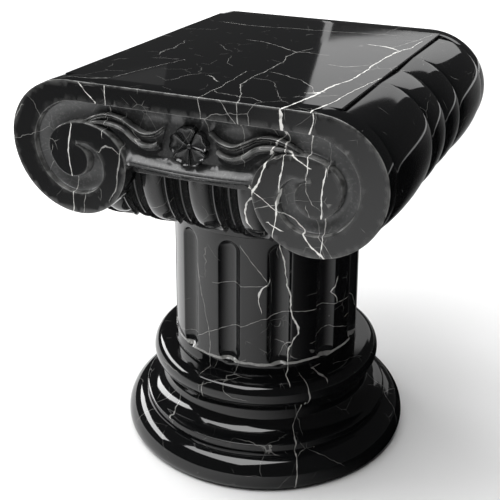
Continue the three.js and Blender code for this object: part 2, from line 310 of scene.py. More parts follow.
# A vein is a thin sheet of calcite through one side of the block. It runs along one axis and strays
# along another: each point is how far along, how far across, and how wide there.
veins = {
    "front": [
        ("z", "x", [(452, 94, 3.4), (440, 94, 4), (429, 95, 3.4), (424, 96, 1.6), (419, 90, 2),
                    (407, 84, 3.6), (394, 80, 2.4), (376, 72, 3.4), (360, 63, 4.2), (350, 55, 3),
                    (338, 49, 2.6), (325, 50, 2.4), (319, 54, 1.2)]),
        ("z", "x", [(427, 97, 1.6), (420, 99, 2.6), (408, 98, 1.6), (394, 96, 1.4), (388, 94, 2.2),
                    (374, 92, 2.6), (362, 91, 2), (352, 92, 3.2), (343, 91, 1.2), (328, 88, 1)]),
        ("z", "x", [(452, 123, 2.4), (440, 124, 1.6), (430, 121, 2.2), (420, 120, 1.2), (404, 120, 1.6),
                    (390, 118, 0.7)]),
        ("z", "x", [(399, 137, 1.4), (390, 134, 2.4), (372, 134, 1.8), (350, 135, 2.2), (335, 136, 1.2),
                    (319, 133, 0.8)]),
        ("z", "x", [(372, 64, 0.9), (361, 80, 1.2), (350, 98, 1), (338, 115, 1.4), (330, 122, 2.4),
                    (316, 137, 3.6), (312, 141, 1.2)]),
        ("x", "z", [(104, 411, 1.6), (112, 405, 3.8), (121, 400, 1.8)]),
        ("x", "z", [(84, 341, 1.4), (90, 337, 2.4), (96, 335, 1.6)]),
        ("z", "x", [(451, -82, 1.8), (440, -84, 1.4), (430, -84, 1), (414, -87, 0.8), (400, -90, 0.5)]),
        ("z", "x", [(451, -114, 1.6), (440, -104, 1.8), (431, -95, 1.2)]),
        ("z", "x", [(406, -125, 1.4), (380, -130, 2), (362, -129, 1.2), (340, -129, 1), (314, -131, 1.4)]),
    ],
    "rim": [
        ("z", "x", [(396, -198, 2), (386, -195, 3.2), (378, -197, 2.4), (370, -195, 3.4),
                    (361, -198, 1.6)]),
    ],
    "rim faint": [
        ("z", "x", [(414, -190, 0.8), (396, -195, 1.2)]),
    ],
    "front faint": [
        ("x", "z", [(-94, 383, 1.2), (-91, 388, 2), (-87, 391, 2.4), (-80, 390, 1.8), (-74, 384, 1.2)]),
        ("z", "x", [(390, -71, 1.1), (374, -73, 1.9), (356, -77, 1.9), (345, -80, 1.4), (334, -87, 1)]),
        ("z", "x", [(392, 117, 0.9), (378, 119, 0.8), (366, 125, 0.8), (360, 136, 0.6)]),
        ("z", "x", [(427, 136, 0.8), (404, 139, 1), (396, 138, 0.7)]),
        ("z", "x", [(449, 14, 1), (428, 17, 1.2), (412, 19, 0.7)]),
        ("z", "x", [(449, 36, 1.2), (438, 44, 1.4), (428, 53, 0.8)]),
        ("z", "x", [(449, 52, 1.2), (429, 54, 1.6), (414, 55, 1), (392, 57, 0.6)]),
        ("z", "x", [(380, -149, 0.7), (368, -152, 0.9), (356, -158, 0.7)]),
        ("z", "x", [(336, -114, 0.8), (314, -119, 1.1)]),
        ("z", "x", [(419, -68, 0.8), (404, -58, 0.9), (396, -50, 0.6)]),
        ("z", "x", [(361, 119, 0.6), (338, 130, 0.9), (318, 146, 0.6)]),
        ("x", "z", [(68, 352, 0.6), (82, 356, 1.1), (92, 360, 0.7)]),
        ("x", "z", [(-192, 402, 0.9), (-186, 410, 1.4), (-181, 418, 0.8)]),
    ],
    "top": [
        ("y", "x", [(-196, 94, 3.2), (-170, 99, 2.4), (-139, 105, 3.4), (-120, 107, 2.4),
                    (-107, 109, 3.8), (-92, 112, 1.8), (-76, 116, 2.6), (-39, 120, 1.8), (-10, 118, 2.4),
                    (15, 119, 1.4), (40, 122, 2.4), (56, 123, 3.2), (78, 132, 1.4), (120, 134, 1.2)]),
        ("y", "x", [(-196, 121, 2.4), (-183, 121, 2), (-169, 124, 2.6), (-160, 126, 1.2), (-107, 132, 1),
                    (-55, 141, 0.8)]),
        ("x", "y", [(86, 79, 1.6), (104, 76, 4.2), (114, 72, 4.6), (124, 64, 1.6)]),
        ("x", "y", [(96, -135, 1.2), (103, -131, 2), (108, -124, 2.2)]),
    ],
    "top faint": [
        ("y", "x", [(-194, 55, 1), (-160, 42, 1.2), (-133, 30, 1.6), (-110, 29, 1), (-78, 31, 1.3),
                    (-37, 32, 1), (-14, 26, 1.6), (5, 27, 1.1), (34, 36, 0.8)]),
        ("y", "x", [(-194, 15, 1.1), (-170, 15, 0.9), (-148, 17, 1.2), (-120, 16, 0.8), (-88, 13, 0.9)]),
        ("x", "y", [(-112, 119, 1), (-80, 114, 1.3), (-50, 116, 1), (-14, 122, 1.4), (17, 124, 1.2),
                    (60, 131, 1), (104, 136, 0.8)]),
        ("x", "y", [(-44, 42, 0.8), (-24, 39, 1.4), (-7, 31, 1.2), (10, 22, 1.6), (26, 10, 1.2),
                    (40, 13, 1.3), (61, 11, 0.9)]),
        ("x", "y", [(38, -80, 0.7), (56, -86, 1), (74, -95, 0.9), (90, -112, 1.2), (104, -133, 0.8)]),
        ("x", "y", [(79, -28, 1.2), (95, -29, 1.7), (106, -21, 1.3), (114, -11, 0.8)]),
        ("y", "x", [(76, 113, 0.9), (110, 124, 1.3), (151, 135, 1), (190, 138, 0.9)]),
        ("x", "y", [(-141, -178, 0.7), (-110, -176, 1), (-94, -168, 0.8), (-82, -128, 0.7),
                    (-64, -72, 0.6)]),
        ("x", "y", [(-14, -118, 1.2), (-4, -124, 2.4), (6, -134, 1.2)]),
    ],
    "round": [
        ("z", "arc", [(280, 57, 2.2), (264, 59, 1.6), (248, 65, 2), (232, 66, 1.3), (214, 70, 1.6),
                    (196, 70, 2.2), (182, 74, 1.8), (171, 78, 3.2), (164, 79, 2.2), (156, 74, 1.4),
                    (146, 71, 1.8), (130, 68, 1), (113, 66, 1.2)]),
        ("z", "arc", [(229, 47, 0.9), (226, 45, 1.8), (221, 39, 2.8), (215, 36, 3), (206, 35, 1.2),
                    (193, 39, 0.7)]),
        ("z", "arc", [(218, 131, 0.8), (210, 128, 1.5), (202, 124, 1.2), (194, 130, 1.4),
                    (188, 132, 0.8)]),
        ("z", "arc", [(88, 80, 1.2), (84, 80, 2.2), (78, 81, 1)]),
    ],
    "round faint": [
        ("arc", "z", [(-75, 138, 0.7), (-44, 143, 0.9), (-16, 161, 1), (38, 184, 0.9), (74, 192, 1),
                    (150, 186, 0.8)]),
        ("z", "arc", [(262, -52, 0.8), (244, -44, 1.1), (216, -37, 1), (181, -29, 0.8), (152, -23, 1.1),
                    (113, -22, 0.8)]),
        ("z", "arc", [(268, 16, 0.9), (252, 26, 0.7), (240, 37, 1.2), (226, 46, 0.8)]),
        ("arc", "z", [(-17, 219, 0.7), (4, 222, 0.9), (20, 221, 0.9), (43, 224, 0.7)]),
        ("z", "arc", [(158, 75, 1.6), (146, 64, 1), (136, 60, 0.6)]),
        ("z", "arc", [(112, 82, 1.1), (96, 83, 1.4), (76, 81, 1), (54, 71, 1.2), (30, 67, 1.4),
                    (2, 65, 1)]),
        ("z", "arc", [(106, -15, 1), (80, -16, 1.2)]),
        ("z", "arc", [(126, 91, 1), (116, 98, 1.3), (110, 104, 1.5), (118, 110, 1), (126, 118, 0.8)]),
        ("arc", "z", [(96, 149, 0.6), (124, 160, 0.9), (150, 150, 0.7)]),
        ("z", "arc", [(60, -60, 0.8), (50, -54, 1.1), (44, -44, 0.9)]),
    ],
}
veinSpan = 800  # positions across are stored as shares of this


def noiseOf(place, size, detail=3.0, output="Fac", shift=0.0):
    moved = place.vector("ADD", (shift, -shift, 2 * shift))
    values = {"Vector": moved, "Scale": 1 / size, "Detail": detail}
    return Wire.node(place.tree, "ShaderNodeTexNoise", {}, values, output)


def veinOf(axes, across, widths, facts):
    along, aside, points = facts
    points = sorted(points)
    runs, strays, wides = (np.array(column, float) for column in zip(*points))
    slopes = np.gradient(strays, runs)
    halves = wides / 2 * np.sqrt(1 + slopes * slopes) / veinSpan  # measured along the other axis
    low, high = runs[0] - 3, runs[-1] + 3
    greys = strays / veinSpan + 0.5
    stops = [(0, greys[0], 0), *zip((runs - low) / (high - low), greys, halves), (1, greys[-1], 0)]
    share = Wire.node(widths.tree, "ShaderNodeMapRange", {}, {0: axes[along], 1: low, 2: high})
    middle = Wire.node(widths.tree, "ShaderNodeValToRGB", {"stops": stops}, {0: share})
    return across[aside].math("COMPARE", middle, middle.other("Alpha") * widths)


def veinsOn(side, axes, across, widths):
    mask = None
    for facts in veins[side]:
        one = veinOf(axes, across, widths, facts)
        mask = one if mask is None else mask.math("MAXIMUM", one)
    return mask


def threads(place, size, width, gaps, shift):  # a broken net of fine veins
    moved = place.vector("ADD", (shift, shift, shift))
    values = {"Vector": moved, "Scale": 1 / size}
    edge = Wire.node(place.tree, "ShaderNodeTexVoronoi", {"feature": "DISTANCE_TO_EDGE"}, values, "Distance")
    line = 1 - (edge * size).smooth(width * 0.3, width)
    return line * noiseOf(place, size * 0.7, 2.0, shift=shift).smooth(gaps, gaps + 0.06)


def flecks(place, size, radius, share, shift):  # small white grains
    values = {"Vector": place.vector("ADD", (shift, 0, shift)), "Scale": 1 / size}
    near = Wire.node(place.tree, "ShaderNodeTexVoronoi", {"feature": "F1"}, values, "Distance")
    tint = near.other("Color")
    grain = radius * (0.3 + part(tint, 1))
    return (1 - (near * size).smooth(grain * 0.5, grain)) * (part(tint, 0) < share)


def mixed(share, colour, other):
    return Wire.node(share.tree, "ShaderNodeMix", {"data_type": "RGBA"}, {0: share, 6: colour, 7: other}, 2)


def marbleMaterial():
    material = bpy.data.materials.new("black marble")
    material.use_nodes = True
    tree = material.node_tree
    tree.nodes.clear()
    place = Wire.node(tree, "ShaderNodeTexCoord", output="Object").scaled(1 / mm)
    carved = Wire.node(tree, "ShaderNodeAttribute", {"attribute_name": "carved"}, output="Fac")
    worn = Wire.node(tree, "ShaderNodeAttribute", {"attribute_name": "worn"}, output="Fac")
    coarse = noiseOf(place, 22, 3.0, "Color").vector("SUBTRACT", (0.5, 0.5, 0.5)).scaled(7.0)
    bent = place.vector("ADD", coarse)
    widths = noiseOf(place, 7, 2.0, shift=90).smooth(0.3, 0.7) * 0.62 + 0.28
    axes = {"x": part(bent, 0), "y": part(bent, 1), "z": part(bent, 2)}
    # along the shaft's girth, 0 at the front
    axes["arc"] = axes["y"].math("ARCTAN2", axes["x"]) * marble["shaftRadius"] + marble["frontArc"]
    across = {name: axis / veinSpan + 0.5 for name, axis in axes.items()}
    height = part(place, 2)
    sides = {
        "front": (part(place, 1) < marble["frontBehind"]) * (height < marble["topFrom"]),
        "top": height > marble["topFrom"],
        "round": height < marble["roundTo"],
        "rim": part(place, 1) < marble["rimBehind"],
    }
    strong, faint = None, None
    for side, within in sides.items():
        bold = veinsOn(side, axes, across, widths) * within
        thin = veinsOn(side + " faint", axes, across, widths) * within
        strong = bold if strong is None else strong.math("MAXIMUM", bold)
        faint = thin if faint is None else faint.math("MAXIMUM", thin)
    further = place.vector("ADD", coarse.scaled(2.2))
    net = threads(further, 105, 0.42, 0.52, 7).math("MAXIMUM", threads(bent, 41, 0.24, 0.55, 31) * 0.6)
    patches = noiseOf(place, 50, 2.0, shift=120).smooth(0.45, 0.62)
    grains = flecks(place, 8, 0.42, 0.16, 3) * patches + flecks(place, 24, 0.8, 0.25, 17)
    white = strong.math("MAXIMUM", faint * 0.38).math("MAXIMUM", net * 0.24)
    white = white * (noiseOf(place, 5, 3.0, shift=150).smooth(0.25, 0.5) * 0.45 + 0.55)
    white = white.math("MAXIMUM", grains.math("MINIMUM", 1.0) * 0.4)
    dust = noiseOf(place, 2.6, 4.0, shift=230).smooth(0.5, 0.72) * carved
    # pale edges, partly wear and partly a painted highlight along the arrises, channel walls and leaf ridges,
    # with pale dust in the carved hollows
    wearDustAndHighlight = worn * (noiseOf(place, 9, 3.0, shift=260).smooth(0.3, 0.65) * 0.8 + 0.2)
    wearDustAndHighlight = wearDustAndHighlight.math("MAXIMUM", dust * 0.45)
    base = mixed(carved, (*marble["polished"], 1), (*marble["worked"], 1))
    colour = mixed(white, mixed(wearDustAndHighlight, base, (*marble["worn"], 1)), (*marble["veinColour"], 1))
    rough = marble["roughness"] + carved * (marble["workedRoughness"] - marble["roughness"])
    rough = rough + noiseOf(place, 18, 4.0, shift=300) * 0.025 + white * 0.10
    tooth = noiseOf(place, 2.6, 2.0, shift=400) * carved * 0.3
    waves = noiseOf(place, 60, 1.0, shift=500) * 0.22
    bump = Wire.node(tree, "ShaderNodeBump", {}, {"Strength": 0.4, "Distance": mm, "Height": tooth + waves})
    shader = Wire.node(tree, "ShaderNodeBsdfPrincipled", {}, {
        "Base Color": colour, "Roughness": rough, "Normal": bump, "IOR": 1.53, "Metallic": 0.0,
    })
    ending = tree.nodes.new("ShaderNodeOutputMaterial")
    tree.links.new(shader.socket, ending.inputs["Surface"])
    return material


blackMarble = marbleMaterial()
print("marble made")

# Round base and fluted shaft: a profile turned about the axis, with the flutes sunk into it.
base = {
    "radius": 169.5, "footRadius": 160.5, "widest": 11, "torusTop": 37, "fillet": 147, "filletTop": 46.5,
    "coveFoot": 143, "coveRadius": 119, "coveFloor": 68, "coveTop": 83, "coveTopRadius": 122,
    "upperRadius": 135, "upperRound": 12, "upperTop": 112.5, "columns": 14,
}
shaft = {
    "footRadius": 108.5, "topRadius": 106, "neckRadius": 110.5, "neckBottom": 279, "neckTop": 296,
    "flutes": 12, "phase": 0.02, "fluteRadius": 14, "fluteDepth": 9, "fluteFoot": 125, "fluteHead": 273,
    "arris": 0.9, "columns": 28,
}


def turnedTree():
    sizes = {
        "Columns": 28, "Rows": 10, "Flutes": 12, "Phase": 0.0, "Flute Radius": 1.0, "Flute Depth": 1.0,
        "Flute Foot": 0.0, "Flute Head": 1.0, "Shaft Radius": 1.0, "Arris": 1.0, "Narrowest": 1.0,
    }
    tree, size = newTree("turned and fluted", sizes)
    grid, around, up = gridOf(tree, size["Columns"] * size["Flutes"] + 1, size["Rows"])
    row = (up * (size["Rows"] - 1)).math("ROUND")
    outline = Wire.node(tree, "GeometryNodeInputPosition")
    profile = Wire.node(tree, "GeometryNodeSampleIndex", {"data_type": "FLOAT_VECTOR", "domain": "POINT"},
                        {"Geometry": size["Shape"], "Value": outline, "Index": row})
    radius, height = part(profile, 0), part(profile, 2)
    # half the width of a flute, and its share of the space from one flute to the next
    bottom = size["Flute Radius"] - size["Flute Depth"]
    half = (size["Flute Radius"] ** 2 - bottom ** 2).math("SQRT")
    pitch = 2 * math.pi / size["Flutes"]
    widest = half / (pitch * size["Shaft Radius"] / 2)
    beyond = (size["Flute Foot"] + half - height).math("MAXIMUM", height - size["Flute Head"] + half)
    beyond = beyond.math("MAXIMUM", 0.0)
    narrowing = (1 - (beyond / half) ** 2).math("MAXIMUM", size["Narrowest"] ** 2).math("SQRT")
    edge = widest * narrowing
    # columns crowd towards the arrises of the flutes
    turn = around * size["Flutes"]
    local = turn.math("FRACT") * 2 - 1
    away = abs(local)
    inFlute = edge * (away * math.pi).math("SINE")
    onLand = 1 - (1 - edge) * ((1 - away) * math.pi).math("SINE")
    share = chosen(away < 0.5, inFlute, onLand) * local.math("SIGN")
    angle = (turn.math("FLOOR") + share / 2) * pitch + size["Phase"]
    across = share * pitch * size["Shaft Radius"] / 2
    squared = across ** 2 + beyond ** 2
    raw = (size["Flute Radius"] ** 2 - squared).math("MAXIMUM", 0.0).math("SQRT") - bottom
    sunk = (raw + (raw ** 2 + size["Arris"] ** 2).math("SQRT")) / 2
    onAxis = radius < 0.5
    reduced = chosen(onAxis, 0 * radius, radius - sunk)
    place = xyz(tree, reduced * angle.math("COSINE"), reduced * angle.math("SINE"), height)
    matt = (sunk / size["Flute Depth"]).smooth(0.1, 0.5) * 0.06
    # both are worked out on the grid before it is moved
    stored = Wire.node(tree, "GeometryNodeStoreNamedAttribute", {"data_type": "FLOAT", "domain": "POINT"},
                       {"Geometry": grid, "Name": "carved", "Value": matt})
    finishTree(tree, setPlaces(tree, stored, place), blackMarble)
    return tree


def baseProfile():
    b = base
    fillet = [(b["fillet"], b["torusTop"]), (b["fillet"] - 1, b["filletTop"]),
              (b["coveFoot"], b["filletTop"] + 1)]
    torusShoulder = (b["upperRadius"] - b["upperRound"], b["upperTop"])
    torusMiddle = (b["upperRadius"], (b["coveTop"] + b["upperTop"]) / 2)
    points = [(0, 0), (b["footRadius"] - 2, 0), (b["footRadius"], 0)]
    points += quarter((b["footRadius"], 0), (b["radius"], b["widest"]), True, 6)
    points += quarter((b["radius"], b["widest"]), fillet[0], False, 12)
    points += [(b["fillet"], b["torusTop"] + 0.5)] + softCorner(*fillet, 0.8)
    points += [(b["coveFoot"] + 0.4, fillet[2][1])]
    points += quarter(fillet[2], (b["coveRadius"], b["coveFloor"]), True, 10)
    points += quarter((b["coveRadius"], b["coveFloor"]), (b["coveTopRadius"], b["coveTop"]), False, 5)
    points += [(b["coveTopRadius"] + 0.4, b["coveTop"]), (b["upperRadius"] - b["upperRound"], b["coveTop"])]
    points += quarter(points[-1], torusMiddle, True, 8) + quarter(torusMiddle, torusShoulder, False, 8)
    points += [(torusShoulder[0] - 1, b["upperTop"]), (112, b["upperTop"]), (100, b["upperTop"]),
               (0, b["upperTop"])]
    return points


def shaftProfile():
    s = shaft
    low, ring = base["upperTop"], 0.6
    points = [(0, low - 4), (s["footRadius"] + ring, low - 4), (s["footRadius"] + ring, low)]
    points += softCorner(points[-1], (s["footRadius"] + ring, low + ring), (s["footRadius"], low + ring), 0.5)
    points += [(s["footRadius"], low + ring + 0.3)]
    half = math.sqrt(s["fluteRadius"] ** 2 - (s["fluteRadius"] - s["fluteDepth"]) ** 2)
    foot, head = s["fluteFoot"], s["fluteHead"]
    crowded = half * (1 - np.sin(np.linspace(0, math.pi / 2, 15)))[::-1]  # rows close to a flute's end
    heights = [low + 5, foot - 3, foot - 0.8, *(foot + crowded),
               *np.linspace(foot + half, head - half, 9)[1:-1]]
    heights += [*(head - crowded[::-1]), head + 0.8, head + 3]
    slope = (s["topRadius"] - s["footRadius"]) / (s["neckBottom"] - low)
    points += [(s["footRadius"] + slope * (z - low), z) for z in heights]
    neck = [(s["topRadius"], s["neckBottom"]), (s["neckRadius"], s["neckBottom"] + 2),
            (s["neckRadius"], s["neckTop"])]
    points += [(s["topRadius"], neck[0][1] - 0.5)] + softCorner(*neck, 0.8)
    points += [(s["neckRadius"], s["neckTop"]), (0, s["neckTop"])]
    return points


def makeTurned():
    tree = turnedTree()
    sizes = {
        "Flutes": shaft["flutes"], "Phase": shaft["phase"], "Flute Radius": float(shaft["fluteRadius"]),
        "Flute Depth": float(shaft["fluteDepth"]), "Flute Foot": float(shaft["fluteFoot"]),
        "Flute Head": float(shaft["fluteHead"]), "Shaft Radius": float(marble["shaftRadius"]),
        "Arris": shaft["arris"],
    }
    for name, profile, columns, narrowest in (
        ("base", baseProfile(), base["columns"], 1.0),
        ("shaft", shaftProfile(), shaft["columns"], 0.2),
    ):
        own = {**sizes, "Columns": columns, "Rows": len(profile), "Narrowest": narrowest}
        addShell(name, *grown(tree, own, [(r, 0, z) for r, z in profile]))


makeTurned()

# Rolls at the sides: swells between creases, flattened into the edge of the top.
roll = {
    "axisX": 133, "axisZ": 386, "halfLength": 169, "crease": 56, "around": 72,
    "middleRadius": 61, "creaseRadius": 62.5, "endRadius": 61.5, "shortSwell": 5.2, "longSwell": 6.0,
    "shortRows": 16, "longRows": 26, "fullness": 0.85, "topDrop": 0.8, "under": 448.2,
}


def rollTree(sizes):
    tree, size = newTree("roll", sizes)
    half = size["Short Rows"] + size["Long Rows"]
    grid, around, along = gridOf(tree, size["Around"] + 1, (half + 1) * 2 + 1)
    station = ((along * 2 - 1) * (half + 1)).math("ROUND")
    away = abs(station)
    isShort = away < size["Short Rows"] + 0.5
    share = chosen(isShort, away / size["Short Rows"], (away - size["Short Rows"]) / size["Long Rows"])
    share = share.math("MINIMUM", 1.0)
    eased = 0.5 - (share * math.pi).math("COSINE") * 0.5  # rows crowd towards the creases
    y = chosen(isShort, eased * size["Crease"],
               size["Crease"] + eased * (size["Half Length"] - size["Crease"]))
    radius = chosen(isShort, size["Middle Radius"] + eased * (size["Crease Radius"] - size["Middle Radius"]),
                    size["Crease Radius"] + eased * (size["End Radius"] - size["Crease Radius"]))
    swell = chosen(isShort, size["Short Swell"], size["Long Swell"])
    swell = swell * (share * math.pi).math("SINE").math("MAXIMUM", 0.0) ** size["Fullness"]
    angle = around * (2 * math.pi)
    fromTop = angle.math("MINIMUM", 2 * math.pi - angle)
    radius = radius + swell * fromTop.smooth(0.2, 1.25) - size["Top Drop"] * (1 - fromTop.smooth(0.1, 0.7))
    radius = radius * (away < half + 0.5)  # the last ring closes on the axis
    x = size["Axis X"] + radius * angle.math("SINE")
    z = (size["Axis Z"] + radius * angle.math("COSINE")).math("MINIMUM", size["Under"])
    finishTree(tree, setPlaces(tree, grid, xyz(tree, x, y * station.math("SIGN"), z)), blackMarble)
    return tree


def makeRolls():
    sizes = inputsOf(roll, "around", "shortRows", "longRows")
    right = grown(rollTree(sizes), sizes)
    addShell("right roll", *right)
    addShell("left roll", *turnedRound(right))


makeRolls()

# Course of eggs: one cell of the relief is repeated along a quarter-round.
eggs = {
    "count": 5, "pitch": 52, "columns": 40, "rows": 50, "bottom": 293, "top": 363.5, "neck": 109,
    "depth": 168,
    "halfWidth": 13.6, "straight": 46, "round": 33, "height": 10.0, "ribHeight": 8.5, "ground": -5.0,
    "back": 95,
    "course": 103,  # down the face of one cell
}


def eggTree(sizes):
    tree, size = newTree("course of eggs", sizes)
    lastColumn = size["Columns"] * size["Count"]
    grid, across, down = gridOf(tree, lastColumn + 3, size["Rows"] + 3)
    column = (across * (lastColumn + 2)).math("ROUND") - 1
    row = (down * (size["Rows"] + 2)).math("ROUND")
    x = (column / lastColumn).math("MAXIMUM", 0.0).math("MINIMUM", 1.0)
    x = (x - 0.5) * size["Pitch"] * size["Count"]
    share = ((row - 1) / (size["Rows"] - 1)).math("MAXIMUM", 0.0).math("MINIMUM", 1.0)
    # relief of one cell, flat: level is 1 along the edge of the egg and grows outwards
    local = x - size["Pitch"] * (x / size["Pitch"]).math("ROUND")
    fallen = (share * size["Course"] - size["Straight"]).math("MAXIMUM", 0.0) / size["Round"]
    level = ((local / size["Half Width"]) ** 2 + fallen ** 2).math("SQRT")
    shell = size["Height"] * (1 - level.math("MINIMUM", 1.0) ** 2).math("MAXIMUM", 0.0).math("SQRT")
    rib = lambda middle, half: (1 - ((level - middle) / half) ** 2).math("MAXIMUM", 0.0).math("SQRT")
    ribs = rib(1.30, 0.16) * size["Rib Height"]
    toDart = size["Pitch"] / 2 - abs(local)
    dartHalf = 2.0 + (share - 0.45).math("MAXIMUM", 0.0) * 11
    dart = (1 - (toDart / dartHalf) ** 2).math("MAXIMUM", 0.0).math("SQRT") * size["Rib Height"]
    dart = dart - (share - 0.5).math("MAXIMUM", 0.0) * 5 * (1 - (toDart / dartHalf).smooth(0.2, 0.75))
    relief = size["Ground"] + shell.math("MAXIMUM", ribs).math("MAXIMUM", dart)
    relief = relief * share.smooth(0.0, 0.02) * (1 - share.smooth(0.93, 0.975))
    # bent onto the quarter-round
    turn = (1 - share) * (math.pi / 2)
    reach, rise = size["Depth"] - size["Neck"], size["Top"] - size["Bottom"]
    sine, cosine = turn.math("SINE"), turn.math("COSINE")
    length = ((rise * sine) ** 2 + (reach * cosine) ** 2).math("SQRT")
    y = size["Neck"] + reach * sine + relief * rise * sine / length
    z = size["Bottom"] + rise * (1 - cosine) - relief * reach * cosine / length
    isFace = (row > 0.5) * (row < size["Rows"] + 0.5)
    isLow = (row > size["Rows"] + 0.5) * (row < size["Rows"] + 1.5)
    y = chosen(isFace, y, size["Back"])
    z = chosen(isFace, z, chosen(isLow, size["Bottom"], size["Top"]))
    isEnd = (column < -0.5).math("MAXIMUM", column > lastColumn + 0.5)
    y = chosen(isEnd, size["Back"] + 20, y)
    z = chosen(isEnd, (size["Top"] + size["Bottom"]) / 2, z)
    matt = 0.08 + (1 - relief.smooth(-4.0, 1.0)) * 0.5
    stored = Wire.node(tree, "GeometryNodeStoreNamedAttribute", {"data_type": "FLOAT", "domain": "POINT"},
                       {"Geometry": grid, "Name": "carved", "Value": matt})
    finishTree(tree, setPlaces(tree, stored, xyz(tree, x, -1 * y, z)), blackMarble)
    return tree


def makeEggs():
    sizes = inputsOf(eggs, "count", "columns", "rows")
    front = grown(eggTree(sizes), sizes)
    addShell("front eggs", *front)
    addShell("back eggs", *turnedRound(front))


makeEggs()

# Faces: flat volutes joined by the fascia, with the channel sunk between their edges.
face = {
    "thickness": 22, "fascia": 430, "channelFloor": 9.5, "channelStart": 6.5, "scoop": 10, "spacing": 2.6,
    "band": [(126, topZ), (195.5, 385), (124, 314), (66, 371), (113, 410), (153, 382), (128, 352.5),
             (108, 371)],
    "channel": [(118, 430), (169, 383), (124, 335.5), (91.5, 364), (113, 388.5)],
    "tip": (121.5, 386),
    "lipSag": 3.4, "lipFoot": 370.4,
    # across an edge: distance in from the arris, and the share of the full depth there
    "wall": [(-0.8, 0), (-0.42, 0.012), (-0.13, 0.045), (0, 0.1), (0.28, 0.72), (0.75, 0.93), (1.7, 1)],
    # round the outer arris: distance in from it, and how far the stone is worn back
    "arris": [(0, 1.0), (0.12, 0.525), (0.45, 0.165), (1.0, 0)],
    # up from the foot of the lip: distance, and how far it lies behind the face
    "lip": [(0, 2.6), (0.35, 1.3), (1.1, 0.6), (2.0, 0.8), (2.8, 1.9), (3.2, 2.2), (3.8, 1.6), (4.6, 1.9),
            (6.5, 4.2), (9, 6.8), (13, 8.2)],
}


def mirroredHalf(points):
    return [(-x, z) for x, z in reversed(points)]


def lipLine(count=28):
    half = face["band"][3][0]
    xs = np.linspace(half, -half, count)
    return [(x, face["lipFoot"] + face["lipSag"] * (x / half) ** 2) for x in xs]


def rowBeside(curve, distance, whole):  # the curve moved to its left, without what falls too near the edges
    curve = np.array(curve)
    run = np.gradient(curve, axis=0)
    left = np.column_stack([-run[:, 1], run[:, 0]]) / np.linalg.norm(run, axis=1)[:, None]
    moved = curve + left * distance
    clear = distanceTo(moved, whole) > abs(distance) * 0.96
    pieces, current = [], []
    for point, good in zip(moved, clear):
        if good:
            current.append(tuple(point))
        elif current:
            pieces.append(current)
            current = []
    return pieces + ([current] if current else [])


def channelDepth(places, edges):
    toOuter = distanceTo(places, edges["outer"])
    toInner = np.minimum(distanceTo(places, edges["innerRight"]), distanceTo(places, edges["innerLeft"]))
    inRecess = isInside(places, edges["recess"])
    nearest = np.minimum(toOuter, toInner)
    signed = np.where(inRecess, nearest, -nearest)
    share = np.interp(signed, *zip(*face["wall"]))
    scoop = np.clip(toOuter / face["scoop"], 0, 1)
    scoop = scoop * scoop * (3 - 2 * scoop)
    floor = face["channelStart"] + (face["channelFloor"] + 1 - face["channelStart"]) * scoop
    floor = floor * np.clip((toOuter + toInner) / 13, 0.3, 1)
    depth = floor * share
    foot = face["lipFoot"] + face["lipSag"] * (places[:, 0] / face["band"][3][0]) ** 2
    lip = np.interp(places[:, 1] - foot, *zip(*face["lip"]))
    low = (np.abs(places[:, 0]) < face["band"][3][0] + 6) & (places[:, 1] - foot < 13) & inRecess
    depth = np.where(low, np.minimum(depth, lip * np.maximum(share, 0.1)), depth)
    # how far the stone is rounded back round the outer arris, in depth, not colour
    worn = np.interp(distanceTo(places, edges["rim"]), *zip(*face["arris"]))
    fromRim = distanceTo(places, edges["rim"])
    # painted highlight, partly wear: a pale line along the channel walls and round the outer arris, left off
    # the deeper part of the lip
    edgeWearAndHighlight = np.clip(1.6 - np.abs(signed + 0.1) / 0.5, 0, 0.8)
    edgeWearAndHighlight = np.maximum(edgeWearAndHighlight, np.clip(2 - fromRim / 0.6, 0, 1) * (fromRim > 0.05))
    # the pale worked finish of the recess floor fades to none at the walls over 1.2 mm, and to 0.42 towards
    # the middle of the fascia, so the floor is darker there and at the walls
    honed = np.clip(signed / 1.2, 0, 1) * np.interp(np.abs(places[:, 0]), [70, 110], [0.42, 1])
    honed = np.where(low, 0.6, honed)
    return np.maximum(depth, worn), honed, np.where(low & (depth > 1.5), 0, edgeWearAndHighlight)


